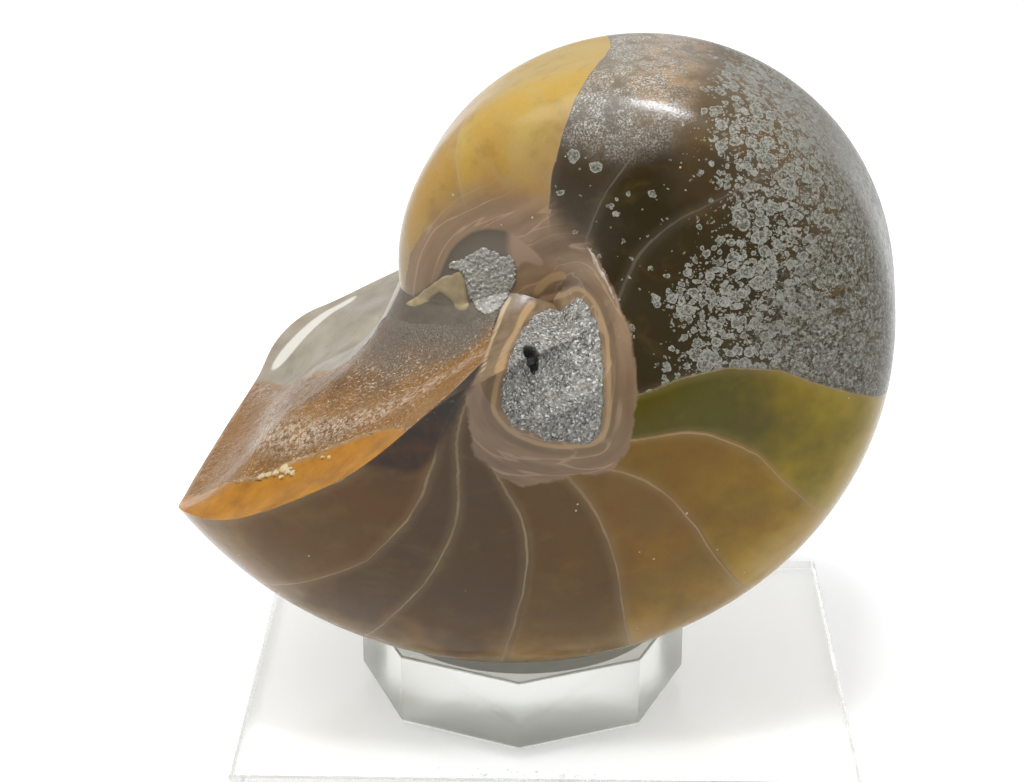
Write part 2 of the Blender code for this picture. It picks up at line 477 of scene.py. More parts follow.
# Outlines on the septum, in millimetres: forward is minus in the first
# number, and the near side is minus in the second.
STRIP_OUTLINE = [
    (-67.0, -17.5), (-58.5, -23.5), (-53.5, -27.8), (-47.4, -30.6), (-44.2, -30.6), (-40.6, -31.6),
    (-37.4, -32.5), (-33.6, -33.3), (-29.8, -34.2), (-26.8, -35.4), (-24.0, -38.0), (-22.6, -41.0),
    (-20.0, -52.0), (-60.0, -52.0), (-72.0, -26.0),
]
# The far hollow: its pale grey is partly the calcite's own tone and partly a painted reflection of
# the white surroundings.
GREY_SHEEN_OUTLINE = [
    (-26.0, -9.0), (-29.4, -10.6), (-32.4, -11.4), (-37.8, -4.0), (-43.6, -2.0), (-49.0, 6.0),
    (-53.5, 13.4), (-57.4, 19.0), (-60.4, 23.4), (-68.0, 24.5), (-68.0, 40.0), (-46.0, 50.0),
    (-36.0, 50.0), (-10.0, 50.0), (-10.0, -4.0),
]
# This outline marks a painted highlight: a pale strip painted where the far hollow reflects the
# bright surroundings.
PAINTED_HIGHLIGHT_OUTLINE = [
    (-60.6, 25.4), (-60.6, 28.2), (-56.0, 32.6), (-51.0, 36.6), (-47.4, 39.2), (-46.6, 37.4),
    (-50.6, 33.2), (-55.4, 28.6), (-58.4, 25.6),
]
# Where the cut edge of the shell begins: shares of the way up the septum, and
# the places across it.
LIP_EDGE = (
    (0.0, 0.04, 0.08, 0.12, 0.20, 0.31, 0.40, 0.46, 0.62, 0.71, 0.84, 0.93, 1.0),
    (0.82, 0.86, 0.895, 0.922, 0.932, 0.940, 0.945, 0.940, 0.90, 0.88, 0.85, 0.835, 0.83),
)

rows_total = AROUND + SEPTUM_ROWS
columns_total = ACROSS + 2 * CAP_RINGS


def new_grid(name, columns, rows):
    """A flat grid of one by one, to be shaped."""
    bpy.ops.object.select_all(action="DESELECT")
    bpy.ops.mesh.primitive_grid_add(x_subdivisions=columns, y_subdivisions=rows, size=1.0)
    grid = bpy.context.object
    grid.name = name
    return grid


def read_points(mesh):
    flat = np.empty(3 * len(mesh.vertices))
    mesh.vertices.foreach_get("co", flat)
    return flat.reshape(-1, 3)


def write_points(mesh, points):
    mesh.vertices.foreach_set("co", np.ascontiguousarray(points, dtype=float).ravel())
    mesh.update()


def write_value(mesh, name, values):
    made = mesh.attributes.new(name, "FLOAT", "POINT")
    made.data.foreach_set("value", np.ascontiguousarray(values, dtype=float))


coil = new_grid("fossil_coil", columns_total, rows_total)
flat = read_points(coil.data)
column = np.rint((flat[:, 0] + 0.5) * columns_total).astype(int)
row = np.rint((flat[:, 1] + 0.5) * rows_total).astype(int)
across = np.clip((column - CAP_RINGS) / ACROSS, 0.0, 1.0) * 2.0 - 1.0
on_septum = row > AROUND
back_share = np.minimum(row / AROUND, 1.0)
around = rim_angle(across) * (1.0 - back_share) + attach_angle(across) * back_share
septum_share = np.where(on_septum, 1.0 - (row - AROUND) / SEPTUM_ROWS, 0.0)
points = np.where(
    on_septum[:, None], septum_point(septum_share, across), outer_point(around, across)
)
cap_share = np.maximum(CAP_RINGS - column, column - CAP_RINGS - ACROSS) / CAP_RINGS
cap_share = np.clip(cap_share, 0.0, 1.0)
around_line = np.linspace(0.0, 1.0, AROUND + 1)
for sign in (-1.0, 1.0):
    lip = outer_point(
        rim_angle(sign) * (1.0 - around_line) + attach_angle(sign) * around_line,
        np.full(AROUND + 1, sign),
    )
    middle = lip.mean(axis=0) + np.array([0.0, sign * PLUG_RECESS, 0.0])
    here = (cap_share > 0.0) & (np.sign(across) == sign)
    share = cap_share[here][:, None]
    points[here] = points[here] * (1.0 - share) + middle * share
    drop = PLUG_RECESS * np.sin(0.5 * math.pi * share[:, 0]) * (1.0 - share[:, 0])
    points[here, 1] += sign * drop
write_points(coil.data, points)

flank = np.abs(points[:, 1]) * -1.0
flank_mm = np.stack([points[:, 0], points[:, 2]], axis=1) / MM
solid_mm = np.stack([points[:, 0], flank, points[:, 2]], axis=1) / MM
face_mm = points[:, :2] / MM
count, width_deg = chamber_count(around, across)
chamber_mm = np.radians(width_deg) * np.hypot(points[:, 0], points[:, 2]) / MM
inner = np.abs(across) > 0.3
ring_gap = inside_distance(flank_mm, RING_OUTLINE)
outer_side = np.abs(points[:, 1]) > 0.030
ring_gap = np.where(outer_side, np.minimum(ring_gap, flank_mm[:, 0] + 13.0), ring_gap)
septum_share[row == AROUND] = 1.0
for name, values in {
    "chambers": np.where(on_septum, 0.0, count),
    "chamber_mm": chamber_mm,
    "off_edge": np.abs(across),
    "around": around,
    "ring_mm": np.where(inner, ring_gap, -20.0),
    "arch_mm": np.where(inner, inside_distance(flank_mm, ARCH_OUTLINE), -20.0),
    "plug_mm": np.where(inner, -inside_distance(flank_mm, PLUG_OUTLINE), 30.0),
    "streak_mm": line_distance(solid_mm, rounded(STREAK_LINE, closed=False)),
    "edge_mm": line_distance(solid_mm, rounded(EDGE_LINE, closed=False)),
    "wedge_mm": np.where(inner, inside_distance(flank_mm, WEDGE_OUTLINE), -20.0),
    "strip_mm": inside_distance(face_mm, STRIP_OUTLINE),
    "grey_sheen_mm": inside_distance(face_mm, GREY_SHEEN_OUTLINE),
    "painted_highlight_mm": inside_distance(face_mm, PAINTED_HIGHLIGHT_OUTLINE),
    "hub_mm": (across - np.interp(septum_share, *LIP_EDGE)) * 90.0,
    "septum": on_septum & (row < rows_total),
    "share": septum_share,
    "side": across,
    "forward_mm": -points[:, 0] / MM,
    "up_mm": points[:, 2] / MM,
}.items():
    write_value(coil.data, name, values)


WELD_GAP = 1e-6


def weld(obj):
    only(obj)
    bpy.ops.object.mode_set(mode="EDIT")
    bpy.ops.mesh.select_all(action="SELECT")
    bpy.ops.mesh.remove_doubles(threshold=WELD_GAP)
    bpy.ops.mesh.normals_make_consistent(inside=False)
    bpy.ops.mesh.select_all(action="DESELECT")
    bpy.ops.object.mode_set(mode="OBJECT")


# The grid's two ends meet along the rim and its two sides close at the hubs.
weld(coil)
septum_flag = np.empty(len(coil.data.vertices))
coil.data.attributes["septum"].data.foreach_get("value", septum_flag)
for face in coil.data.polygons:
    if max(septum_flag[v] for v in face.vertices) > 0.0:
        face.material_index = 1
bpy.ops.object.shade_smooth_by_angle(angle=math.radians(32.0))


def value(tree, name):
    return node(tree, "ShaderNodeAttribute", attribute_name=name).outputs["Fac"]


CHAMBERS = 13
DARK_CHAMBERS = (7.0, 10.0)
INNER_COLOURS = [
    "#5a4012", "#49371e", "#4b391e", "#58421a", "#6b5020", "#6e5610", "#4a4800",
    "#302a1a", "#2a2410", "#383126", "#927858", "#8d7e64", "#8f8472",
]
OUTER_COLOURS = [
    "#6c521f", "#5a4522", "#574118", "#6c5510", "#886e10", "#9e841c", "#988a18",
    "#453d33", "#484037", "#514a42", "#a99458", "#9f8654", "#a08f70",
]


def blend_colour(share, first, second, mode="MIX"):
    tree = tree_of(share, first, second)
    made = node(tree, "ShaderNodeMix", data_type="RGBA", blend_type=mode)
    for index, value in ((0, share), (6, first), (7, second)):
        if isinstance(value, bpy.types.NodeSocket):
            tree.links.new(value, made.inputs[index])
        elif isinstance(value, str):
            made.inputs[index].default_value = paint(value)
        else:
            made.inputs[index].default_value = value
    return made.outputs[2]


def laid_on(under, over, where, strength):
    """One colour laid faintly over another, where a value says."""
    return blend_colour(times(where, strength), under, over)


def stone_body(shader, specular, soak, radius, depth):
    """The polish and the soft glow of calcite, the same all over a piece."""
    shader.inputs["IOR"].default_value = 1.5
    shader.inputs["Specular IOR Level"].default_value = specular
    shader.inputs["Subsurface Weight"].default_value = soak
    shader.inputs["Subsurface Radius"].default_value = radius
    shader.inputs["Subsurface Scale"].default_value = depth


def cells(spot, scale):
    """A field of grains: the distance from each one's middle, and two random shares for it."""
    made = node(tree_of(spot), "ShaderNodeTexVoronoi", {"Vector": spot, "Scale": scale})
    shares = node(tree_of(spot), "ShaderNodeSeparateColor", {"Color": made.outputs["Color"]})
    return made.outputs["Distance"], shares.outputs[0], shares.outputs[1]


def dark_glass(spot):
    """Clear calcite over darkness, with a few pale flaws in it."""
    return mottled(spot, 1.9, [(0.55, "#1c1207"), (0.66, "#3c3224"), (0.76, "#b0aaa2")], 4.0, 0.7)


def shell_lines(colour, streak_mm):
    """The pale streak and the pale edge line of the shell below the umbilicus."""
    colour = laid_on(colour, "#a88a64", step_up(streak_mm, 0.9, 0.45), 0.9)
    pale_edge = step_up(value(tree_of(colour), "edge_mm"), 0.55, 0.2)
    return laid_on(colour, "#c0a885", pale_edge, 0.8)


def polished_calcite():
    material, tree, shader = new_finish("polished_calcite")
    spot = place_mm(tree)
    chambers = value(tree, "chambers")
    chamber_width = value(tree, "chamber_mm")
    off_edge = value(tree, "off_edge")
    ring = value(tree, "ring_mm")
    plug = value(tree, "plug_mm")
    arch = value(tree, "arch_mm")

    wander = sums("SUBTRACT", cloud(spot, 0.22, 3.0, 0.45), 0.5)
    wander = sums("DIVIDE", times(wander, 0.7), chamber_width)
    counted = sums("ADD", chambers, wander)
    from_wall = sums("SUBTRACT", sums("FRACT", sums("ADD", counted, 0.5)), 0.5)
    wall_mm = times(sums("ABSOLUTE", from_wall), chamber_width)
    near_hub = step_up(off_edge, 0.62, 0.92)
    half = scaled(near_hub, 0.12, 0.06)
    half = scaled(cloud(spot, 0.5, 2.0), 0.12, half)
    wall = sums("SUBTRACT", 1.0, step_up(sums("DIVIDE", wall_mm, half), 0.5, 1.6))
    halo = sums("SUBTRACT", 1.0, step_up(wall_mm, 0.0, 1.8))
    strength = scaled(near_hub, -0.30, 1.0)
    strength = times(strength, scaled(step_up(cloud(spot, 0.16, 2.0), 0.3, 0.7), 0.34, 0.36))
    past_brown = sums("GREATER_THAN", counted, DARK_CHAMBERS[0])
    dark = times(past_brown, sums("LESS_THAN", counted, DARK_CHAMBERS[1]))

    position = sums("DIVIDE", counted, float(CHAMBERS))
    places = [i / CHAMBERS for i in range(CHAMBERS)]
    inner_colour = ramp(position, list(zip(places, INNER_COLOURS)))
    outer_colour = ramp(position, list(zip(places, OUTER_COLOURS)))
    drift = scaled(cloud(spot, 0.09), 0.5, -0.25)
    toward_hub = step_up(sums("ADD", off_edge, drift), 0.32, 0.72)
    colour = blend_colour(toward_hub, outer_colour, inner_colour)
    keel = times(step_up(sums("ADD", off_edge, drift), 0.50, 0.22), 0.36)
    keel = times(keel, scaled(past_brown, -0.75, 1.0))
    colour = blend_colour(keel, colour, "#c3a878")
    corner = times(step_up(off_edge, 0.70, 0.84), sums("LESS_THAN", counted, 1.0))
    corner = times(corner, step_up(counted, 1.0, 0.4))
    colour = laid_on(colour, "#33200b", corner, 0.6)

    blotch = cloud(spot, 0.13, 5.0, 0.6, 0.4)
    deep = scaled(step_up(blotch, 0.34, 0.66), 0.4, 0.3)
    colour = blend_colour(deep, colour, "#c2a257", "SOFT_LIGHT")
    streaks = drawn_out(spot, (0.14, 0.14, 0.24), (0.0, 0.9, 0.0))
    veil = step_up(cloud(streaks, 1.0, 4.0, 0.6, 0.6), 0.52, 0.72)
    veil = times(veil, 0.06)
    colour = blend_colour(veil, colour, "#a88c42")
    shade = times(step_up(cloud(spot, 0.32), 0.5, 0.75), 0.16)
    colour = blend_colour(shade, colour, "#32260f")
    fine = cloud(spot, 2.2, 3.0, 0.7)
    colour = blend_colour(
        0.10,
        colour,
        node(tree, "ShaderNodeCombineColor", {0: fine, 1: fine, 2: fine}).outputs[0],
        "OVERLAY",
    )

    # Grey rosettes and grains of the rock in the three dark chambers.
    forward = value(tree, "forward_mm")
    up = value(tree, "up_mm")
    wobble = scaled(cloud(spot, 0.16), 14.0, -7.0)
    behind = sums("SUBTRACT", -18.5, forward)
    behind = sums("ADD", behind, wobble)
    low_part = step_up(up, 13.0, 7.0)
    behind = scaled(low_part, 4.6, behind)
    density = step_up(behind, -3.0, 6.0)
    lanes = drawn_out(spot, (0.10, 0.10, 0.20), (0.0, 0.4, 0.0))
    lane = step_up(cloud(lanes, 1.0, 4.0, 0.6, 0.5), 0.54, 0.64)
    density = times(density, scaled(lane, -0.45, 1.0))
    density = sums("MAXIMUM", density, 0.035)

    swirl = node(
        tree, "ShaderNodeTexNoise", {"Vector": spot, "Scale": 1.1, "Detail": 2.0, "Roughness": 0.5}
    ).outputs["Color"]
    crooked = vectors("MULTIPLY_ADD", swirl, (0.9, 0.9, 0.9), spot)
    crooked = drawn_out(crooked, (1.0, 1.0, 1.15), (0.0, 0.6, 0.0))

    def rosettes(scale, low, high, presence):
        away, size, chance = cells(crooked, scale)
        rough_edge = scaled(cloud(spot, 3.0 * scale, 3.0, 0.6), 0.20, -0.10)
        reach = scaled(size, high - low, low)
        gap = sums("SUBTRACT", sums("ADD", away, rough_edge), reach)
        blob = step_up(gap, 0.03, -0.03)
        outline = times(step_up(gap, 0.03, -0.02), step_up(gap, -0.14, -0.05))
        here = sums("LESS_THAN", chance, presence)
        return times(blob, here), times(outline, here)

    large, large_line = rosettes(0.50, 0.30, 0.62, density)
    small, small_line = rosettes(0.90, 0.28, 0.58, density)
    tiny, tiny_line = rosettes(2.2, 0.22, 0.50, times(density, 0.7))
    grain = sums("MAXIMUM", sums("MAXIMUM", large, small), tiny)
    line = sums("MAXIMUM", sums("MAXIMUM", large_line, small_line), tiny_line)
    grain_tone = mottled(
        spot, 2.6, [(0.36, "#454135"), (0.5, "#717065"), (0.62, "#a5a397")], rough=0.7
    )
    stone = laid_on(colour, grain_tone, grain, 0.8)
    crackle = node(
        tree, "ShaderNodeTexVoronoi", {"Vector": crooked, "Scale": 2.4}, feature="DISTANCE_TO_EDGE"
    )
    crackle = times(step_up(crackle.outputs["Distance"], 0.10, 0.03), grain)
    stone = laid_on(stone, "#3d3a30", crackle, 0.45)
    stone = laid_on(stone, "#aeaca0", line, 0.5)
    grainy = mottled(spot, 1.9, [(0.42, "#2a2519"), (0.5, "#5e5a4d"), (0.60, "#a8a598")], 4.0, 0.75)
    far_back = step_up(behind, 9.0, 24.0)
    far_back = times(far_back, scaled(lane, -0.5, 0.60))
    stone = blend_colour(far_back, stone, grainy)

    def oval_gap(ahead, height, long_share, tall_share):
        along = times(sums("ADD", forward, ahead), long_share)
        above = times(sums("SUBTRACT", up, height), tall_share)
        return sums("ADD", times(along, along), times(above, above))

    # Silver-white flecks at the top of the dark chambers: partly pale grains, partly a painted
    # glint of light on them.
    silver_grains_and_glint = step_up(oval_gap(4.0, 34.0, 0.085, 0.11), 1.5, 0.2)
    fleck = step_up(cloud(spot, 3.4, 5.0, 0.8), 0.46, 0.62)
    fleck = times(fleck, step_up(cloud(spot, 0.35), 0.30, 0.60))
    silver_grains_and_glint = times(silver_grains_and_glint, scaled(fleck, 0.8, 0.12))
    stone = blend_colour(silver_grains_and_glint, stone, "#c6c1b6")
    amber = step_up(oval_gap(12.0, 34.5, 0.16, 0.30), 1.2, 0.2)
    amber = times(amber, step_up(cloud(streaks, 3.0), 0.4, 0.6))
    stone = laid_on(stone, "#b0906c", amber, 0.35)
    colour = blend_colour(dark, colour, stone)

    # The chamber walls show as soft tan lines, wider near the umbilicus.
    wall_tone = blend_colour(dark, "#a08a66", "#6a6053")
    colour = laid_on(colour, wall_tone, halo, 0.16)
    colour = blend_colour(times(wall, strength), colour, wall_tone)

    # The tan ring of umbilical shell, with paler growth streaks.
    ragged = scaled(cloud(spot, 0.32, 4.0, 0.55), 2.4, -1.2)
    soft = scaled(step_up(up, 9.0, 15.0), 3.2, 0.3)
    ring_here = step_up(sums("DIVIDE", sums("ADD", ring, ragged), soft), -0.9, 1.0)
    flow = node(
        tree,
        "ShaderNodeCombineXYZ",
        {0: times(plug, 0.24), 1: times(value(tree, "around"), 0.010), 2: 0.0},
    ).outputs[0]
    vein = sums("ABSOLUTE", sums("SUBTRACT", cloud(flow, 1.0, 3.0, 0.5, 0.5), 0.5))
    vein = step_up(vein, 0.022, 0.0)
    ring_tone = mottled(flow, 1.3, [(0.3, "#715a44"), (0.5, "#846c54"), (0.7, "#927a60")])
    ring_tone = laid_on(ring_tone, "#b0947a", vein, 0.55)
    inner_band = times(step_up(plug, 2.6, 1.9), step_up(plug, 1.0, 1.5))
    ring_tone = laid_on(ring_tone, "#64533f", inner_band, 0.5)
    # The dark grey arch: partly the grey of the rock in it, partly painted shade of the recess
    # under the outer whorl.
    arch_shade_here = step_up(sums("ADD", arch, times(ragged, 0.15)), -0.15, 0.5)
    arch_rock_and_shade = ramp(times(arch, 0.2), [(0.0, "#4e463a"), (0.3, "#5e564a"), (0.9, "#6b6356")], True)
    behind_bowl = sums("ADD", value(tree, "forward_mm"), times(ragged, 0.5))
    arch_rock_and_shade = blend_colour(step_up(behind_bowl, 11.6, 9.8), arch_rock_and_shade, "#98806a")
    ring_tone = blend_colour(arch_shade_here, ring_tone, arch_rock_and_shade)
    lip_line = sums("ABSOLUTE", sums("SUBTRACT", plug, 0.80))
    lip_line = step_up(scaled(ragged, 0.12, lip_line), 0.48, 0.16)
    ring_tone = laid_on(ring_tone, "#a68a66", lip_line, 0.8)
    ring_tone = shell_lines(ring_tone, scaled(ragged, 0.25, value(tree, "streak_mm")))
    colour = laid_on(colour, ring_tone, ring_here, 0.94)

    # A dark, glassy tongue of the first chamber beside the umbilical edge.
    tongue = scaled(ragged, 0.3, value(tree, "wedge_mm"))
    tongue = times(step_up(tongue, -0.5, 0.9), sums("LESS_THAN", counted, 2.0))
    glass = dark_glass(spot)
    amber_glass = mottled(spot, 0.3, [(0.35, "#1e0d00"), (0.70, "#452400")], 4.0)
    glass = blend_colour(step_up(up, -5.0, -10.0), glass, amber_glass)
    colour = laid_on(colour, glass, tongue, 0.92)

    # White specks scattered under the polish.
    away, chance, size = cells(spot, 0.42)
    speck = sums("LESS_THAN", away, times(size, 0.085))
    speck = times(speck, sums("GREATER_THAN", chance, 0.80))
    colour = laid_on(colour, "#cfc4a6", speck, 0.7)

    rough = scaled(times(grain, dark), 0.10, scaled(cloud(spot, 0.5), 0.14, 0.14))
    relief = bump(cloud(spot, 0.22, 2.0), 0.10, 0.0006)
    fleck_relief = times(cloud(spot, 2.8, 2.0), dark)
    wear(shader, colour, rough, bump(fleck_relief, 0.35, 0.00006, relief))
    stone_body(shader, 0.25, 0.22, (1.0, 0.6, 0.3), 0.0012)
    return material


def bare_septum():
    material, tree, shader = new_finish("septum_calcite")
    spot = place_mm(tree)
    strip = value(tree, "strip_mm")
    grey_sheen = value(tree, "grey_sheen_mm")
    base = mottled(spot, 0.25, [(0.3, "#7d6247"), (0.5, "#94775a"), (0.7, "#a58a6a")], 4.0)
    orange = mottled(spot, 0.22, [(0.3, "#865405"), (0.5, "#9e680a"), (0.72, "#b0781a")], 4.0, 0.6)
    colour = blend_colour(step_up(strip, -0.8, 0.4), base, orange)
    # Pale grey on the far hollow: partly its own tone, partly painted reflection of the white
    # surroundings.
    grey = mottled(spot, 0.16, [(0.3, "#867c6b"), (0.5, "#968c7b"), (0.75, "#a69d8c")], 4.0)
    share = value(tree, "share")
    inner_grey = mottled(spot, 0.4, [(0.35, "#5c5347"), (0.65, "#6a6154")])
    colour = blend_colour(step_up(share, 0.80, 0.95), colour, inner_grey)
    colour = blend_colour(step_up(grey_sheen, -0.3, 0.5), colour, grey)
    # Painted highlight: a near white strip painted on the far hollow in place of a reflection of
    # the bright surroundings.
    painted_highlight = step_up(value(tree, "painted_highlight_mm"), -0.2, 0.5)
    colour = laid_on(colour, "#e2ddd2", painted_highlight, 0.70)
    hub = value(tree, "hub_mm")
    tan = mottled(spot, 0.5, [(0.3, "#66553f"), (0.6, "#7f6a52")], 4.0)
    shell_side = step_up(hub, -0.3, 0.3)
    glass = dark_glass(spot)
    wedge = step_up(value(tree, "forward_mm"), 11.6, 12.6)
    wedge = times(wedge, step_up(share, 0.48, 0.42))
    tan = blend_colour(wedge, tan, glass)
    colour = blend_colour(shell_side, colour, tan)
    colour = shell_lines(colour, value(tree, "streak_mm"))
    relief = bump(cloud(spot, 0.35), 0.25, 0.0006)
    wear(shader, colour, scaled(cloud(spot, 0.6), 0.2, 0.22), relief)
    stone_body(shader, 0.35, 0.35, (1.0, 0.5, 0.2), 0.002)
    return material


coil.data.materials.append(polished_calcite())
coil.data.materials.append(bare_septum())


# ---------------------------------------------------------------- druse crust
# The last septum is covered by a thin crust of fine calcite crystals, grown
# on it, that stops short of the polished strip and the glossy far hollow.
CRUST_ROWS = 150
CRUST_COLUMNS = 330
CRUST_RISE = 0.00012
CRUST_SINK = 0.0005
CRUST_BACK = 0.0006
CRUMBS = [
    (-47.6, -30.2, 0.8), (-46.4, -30.5, 0.6), (-45.2, -31.0, 0.7), (-43.8, -31.0, 0.9),
    (-42.8, -31.9, 0.9), (-41.9, -32.8, 0.8), (-43.9, -32.3, 0.6), (-37.0, -33.4, 0.5),
    (-35.9, -34.0, 0.4), (-60.5, -22.6, 0.5),
]
crust = new_grid("druse_crust", CRUST_COLUMNS, CRUST_ROWS)
flat = read_points(crust.data)
crust_side = (flat[:, 0] + 0.5) * 1.91 - 0.95
crust_share = (flat[:, 1] + 0.5) * 0.985 + 0.006
base_points = septum_point(crust_share, crust_side)
step = 0.002
along_share = septum_point(np.minimum(crust_share + step, 1.0), crust_side) - base_points
along_side = septum_point(crust_share, crust_side + step) - base_points
outward = np.cross(along_share, along_side)
outward /= np.linalg.norm(outward, axis=1)[:, None]
outward *= np.sign(outward @ np.array([-1.0, 0.0, 1.0]))[:, None]


def drop_points(obj, unwanted):
    """Deletes the marked points of a piece, and the faces on them."""
    only(obj)
    mesh = obj.data
    mesh.polygons.foreach_set("select", np.zeros(len(mesh.polygons), dtype=bool))
    mesh.edges.foreach_set("select", np.zeros(len(mesh.edges), dtype=bool))
    mesh.vertices.foreach_set("select", np.ascontiguousarray(unwanted, dtype=bool))
    bpy.ops.object.mode_set(mode="EDIT")
    bpy.ops.mesh.select_mode(type="VERT")
    bpy.ops.mesh.delete(type="VERT")
    bpy.ops.object.mode_set(mode="OBJECT")


def relief_of(places, scale, depth=4):
    return np.array([noise.fractal(Vector(p) * scale, 1.0, 2.0, depth) for p in places])


grain = relief_of(base_points, 900.0)
lumps = relief_of(base_points + 0.05, 260.0, 3)
face_mm = base_points[:, :2] / MM
strip_gap = -inside_distance(face_mm, STRIP_OUTLINE) + 0.5 * lumps
grey_sheen_gap = -inside_distance(face_mm, GREY_SHEEN_OUTLINE) + 0.9 * lumps
rim_gap = crust_share * 45.0
crumb = np.zeros(len(base_points))
for x, y, size in CRUMBS:
    away = np.hypot(face_mm[:, 0] - x, face_mm[:, 1] - y)
    crumb = np.maximum(crumb, np.exp(-((away / (0.75 * size)) ** 2)))
strip_gap = strip_gap + 0.25 * grain
cover = smooth((strip_gap + 0.1) / 0.45) * smooth((grey_sheen_gap + 0.2) / 1.4)
cover = cover * smooth((rim_gap - 0.15) / 0.5) * smooth((0.985 - crust_share) / 0.07)
hub_edge = np.interp(crust_share, *LIP_EDGE)
cover = cover * smooth((hub_edge - 0.001 - crust_side) / 0.010) * smooth((crust_side + 0.93) / 0.05)
crumb = np.where(crust_share < 0.4, crumb, 0.0)
cover = np.maximum(cover, smooth((crumb - 0.25) / 0.3))
rise = CRUST_RISE + 0.00011 * grain + 0.00012 * lumps + 0.00016 * smooth((crust_share - 0.55) / 0.2)
edge_lift = 0.00004 * np.exp(-((strip_gap - 0.5) / 0.5) ** 2) + 0.00034 * crumb
rise = (rise + edge_lift) * cover - CRUST_SINK * (1.0 - cover)
write_points(crust.data, base_points + outward * rise[:, None])
for name, values in {
    "share": crust_share,
    "side": crust_side,
    "strip_mm": strip_gap,
    "grey_sheen_mm": grey_sheen_gap,
    "crumb": crumb,
}.items():
    write_value(crust.data, name, values)
drop_points(crust, cover < 0.02)


def face_and_back(obj, facing, thickness):
    """Turns a sheet's faces outward and gives it a back, so that it is closed."""
    only(obj)
    mean = sum((Vector(p.normal) for p in obj.data.polygons), Vector())
    if mean.dot(Vector(facing)) < 0.0:
        bpy.ops.object.mode_set(mode="EDIT")
        bpy.ops.mesh.select_all(action="SELECT")
        bpy.ops.mesh.flip_normals()
        bpy.ops.object.mode_set(mode="OBJECT")
    thick = obj.modifiers.new("thickness", "SOLIDIFY")
    thick.thickness = thickness
    thick.offset = -1.0
    bpy.ops.object.modifier_apply(modifier="thickness")
    bpy.ops.object.shade_smooth()


face_and_back(crust, (-1.0, 0.0, 1.0), CRUST_BACK)


def druse_finish():
    material, tree, shader = new_finish("drusy_calcite")
    spot = place_mm(tree)
    share = value(tree, "share")
    side = value(tree, "side")
    browns = [(0.30, "#5e3f10"), (0.48, "#704b17"), (0.62, "#805a26"), (0.78, "#90703e")]
    warm = mottled(spot, 0.2, browns, 5.0, 0.65)
    golden = sums("MAXIMUM", step_up(side, 0.45, 0.85), step_up(share, 0.42, 0.12))
    golden = times(golden, step_up(share, 0.95, 0.5))
    colour = laid_on(warm, "#865814", golden, 0.65)
    high = step_up(scaled(cloud(spot, 0.15), 0.3, share), 0.76, 1.10)
    colour = blend_colour(high, colour, "#5f574c")
    pink = step_up(value(tree, "grey_sheen_mm"), 9.0, 0.0)
    colour = laid_on(colour, "#7c6857", pink, 0.55)
    fine_frost = drawn_out(spot, (0.9, 2.0, 2.0), (0.0, 0.0, 0.7))
    frost = step_up(cloud(fine_frost, 1.3, 5.0, 0.75), 0.54, 0.64)
    frost = times(frost, step_up(share, 0.98, 0.70))
    patchy = step_up(cloud(spot, 0.12), 0.38, 0.62)
    frost = times(frost, scaled(patchy, 0.50, 0.26))
    beside_grey_sheen = times(step_up(value(tree, "grey_sheen_mm"), 7.0, 1.0), 0.4)
    beside_grey_sheen = times(beside_grey_sheen, step_up(cloud(fine_frost, 0.8, 5.0, 0.7), 0.46, 0.60))
    beside_grey_sheen = times(beside_grey_sheen, step_up(share, 0.85, 0.60))
    frost = sums("MAXIMUM", frost, beside_grey_sheen)
    colour = blend_colour(frost, colour, "#d6c6b2")
    grit = step_up(cloud(spot, 4.5, 2.0, 0.7), 0.60, 0.70)
    grit = times(grit, step_up(share, 0.98, 0.80))
    colour = laid_on(colour, "#e2d6c8", grit, 0.45)
    near_lip = times(step_up(share, 0.035, 0.012), step_up(side, 0.52, 0.62))
    colour = laid_on(colour, "#d9c8ab", near_lip, 0.75)
    edge_line = step_up(value(tree, "strip_mm"), 0.7, 0.1)
    colour = laid_on(colour, "#cdb48a", edge_line, 0.5)
    crumb = step_up(value(tree, "crumb"), 0.2, 0.5)
    colour = laid_on(colour, "#cbb791", crumb, 0.8)
    # A whitish band along a ridge of the crust: partly frost, partly a painted highlight on the
    # ridge.
    frost_and_ridge_highlight = sums("SUBTRACT", share, scaled(side, 0.30, 0.30))
    frost_and_ridge_highlight = step_up(sums("ABSOLUTE", frost_and_ridge_highlight), 0.13, 0.01)
    frost_and_ridge_highlight = times(frost_and_ridge_highlight, step_up(cloud(spot, 1.2, 4.0, 0.75), 0.42, 0.62))
    frost_and_ridge_highlight = times(frost_and_ridge_highlight, step_up(side, -0.25, -0.05))
    colour = laid_on(colour, "#dccdba", frost_and_ridge_highlight, 0.50)
    coarse = bump(cloud(spot, 1.5, 3.0, 0.7), 0.6, 0.0003)
    wear(shader, colour, 0.33, bump(cells(spot, 3.6)[0], 0.55, 0.00018, coarse))
    stone_body(shader, 0.35, 0.25, (1.0, 0.5, 0.25), 0.001)
    return material


crust.data.materials.append(druse_finish())


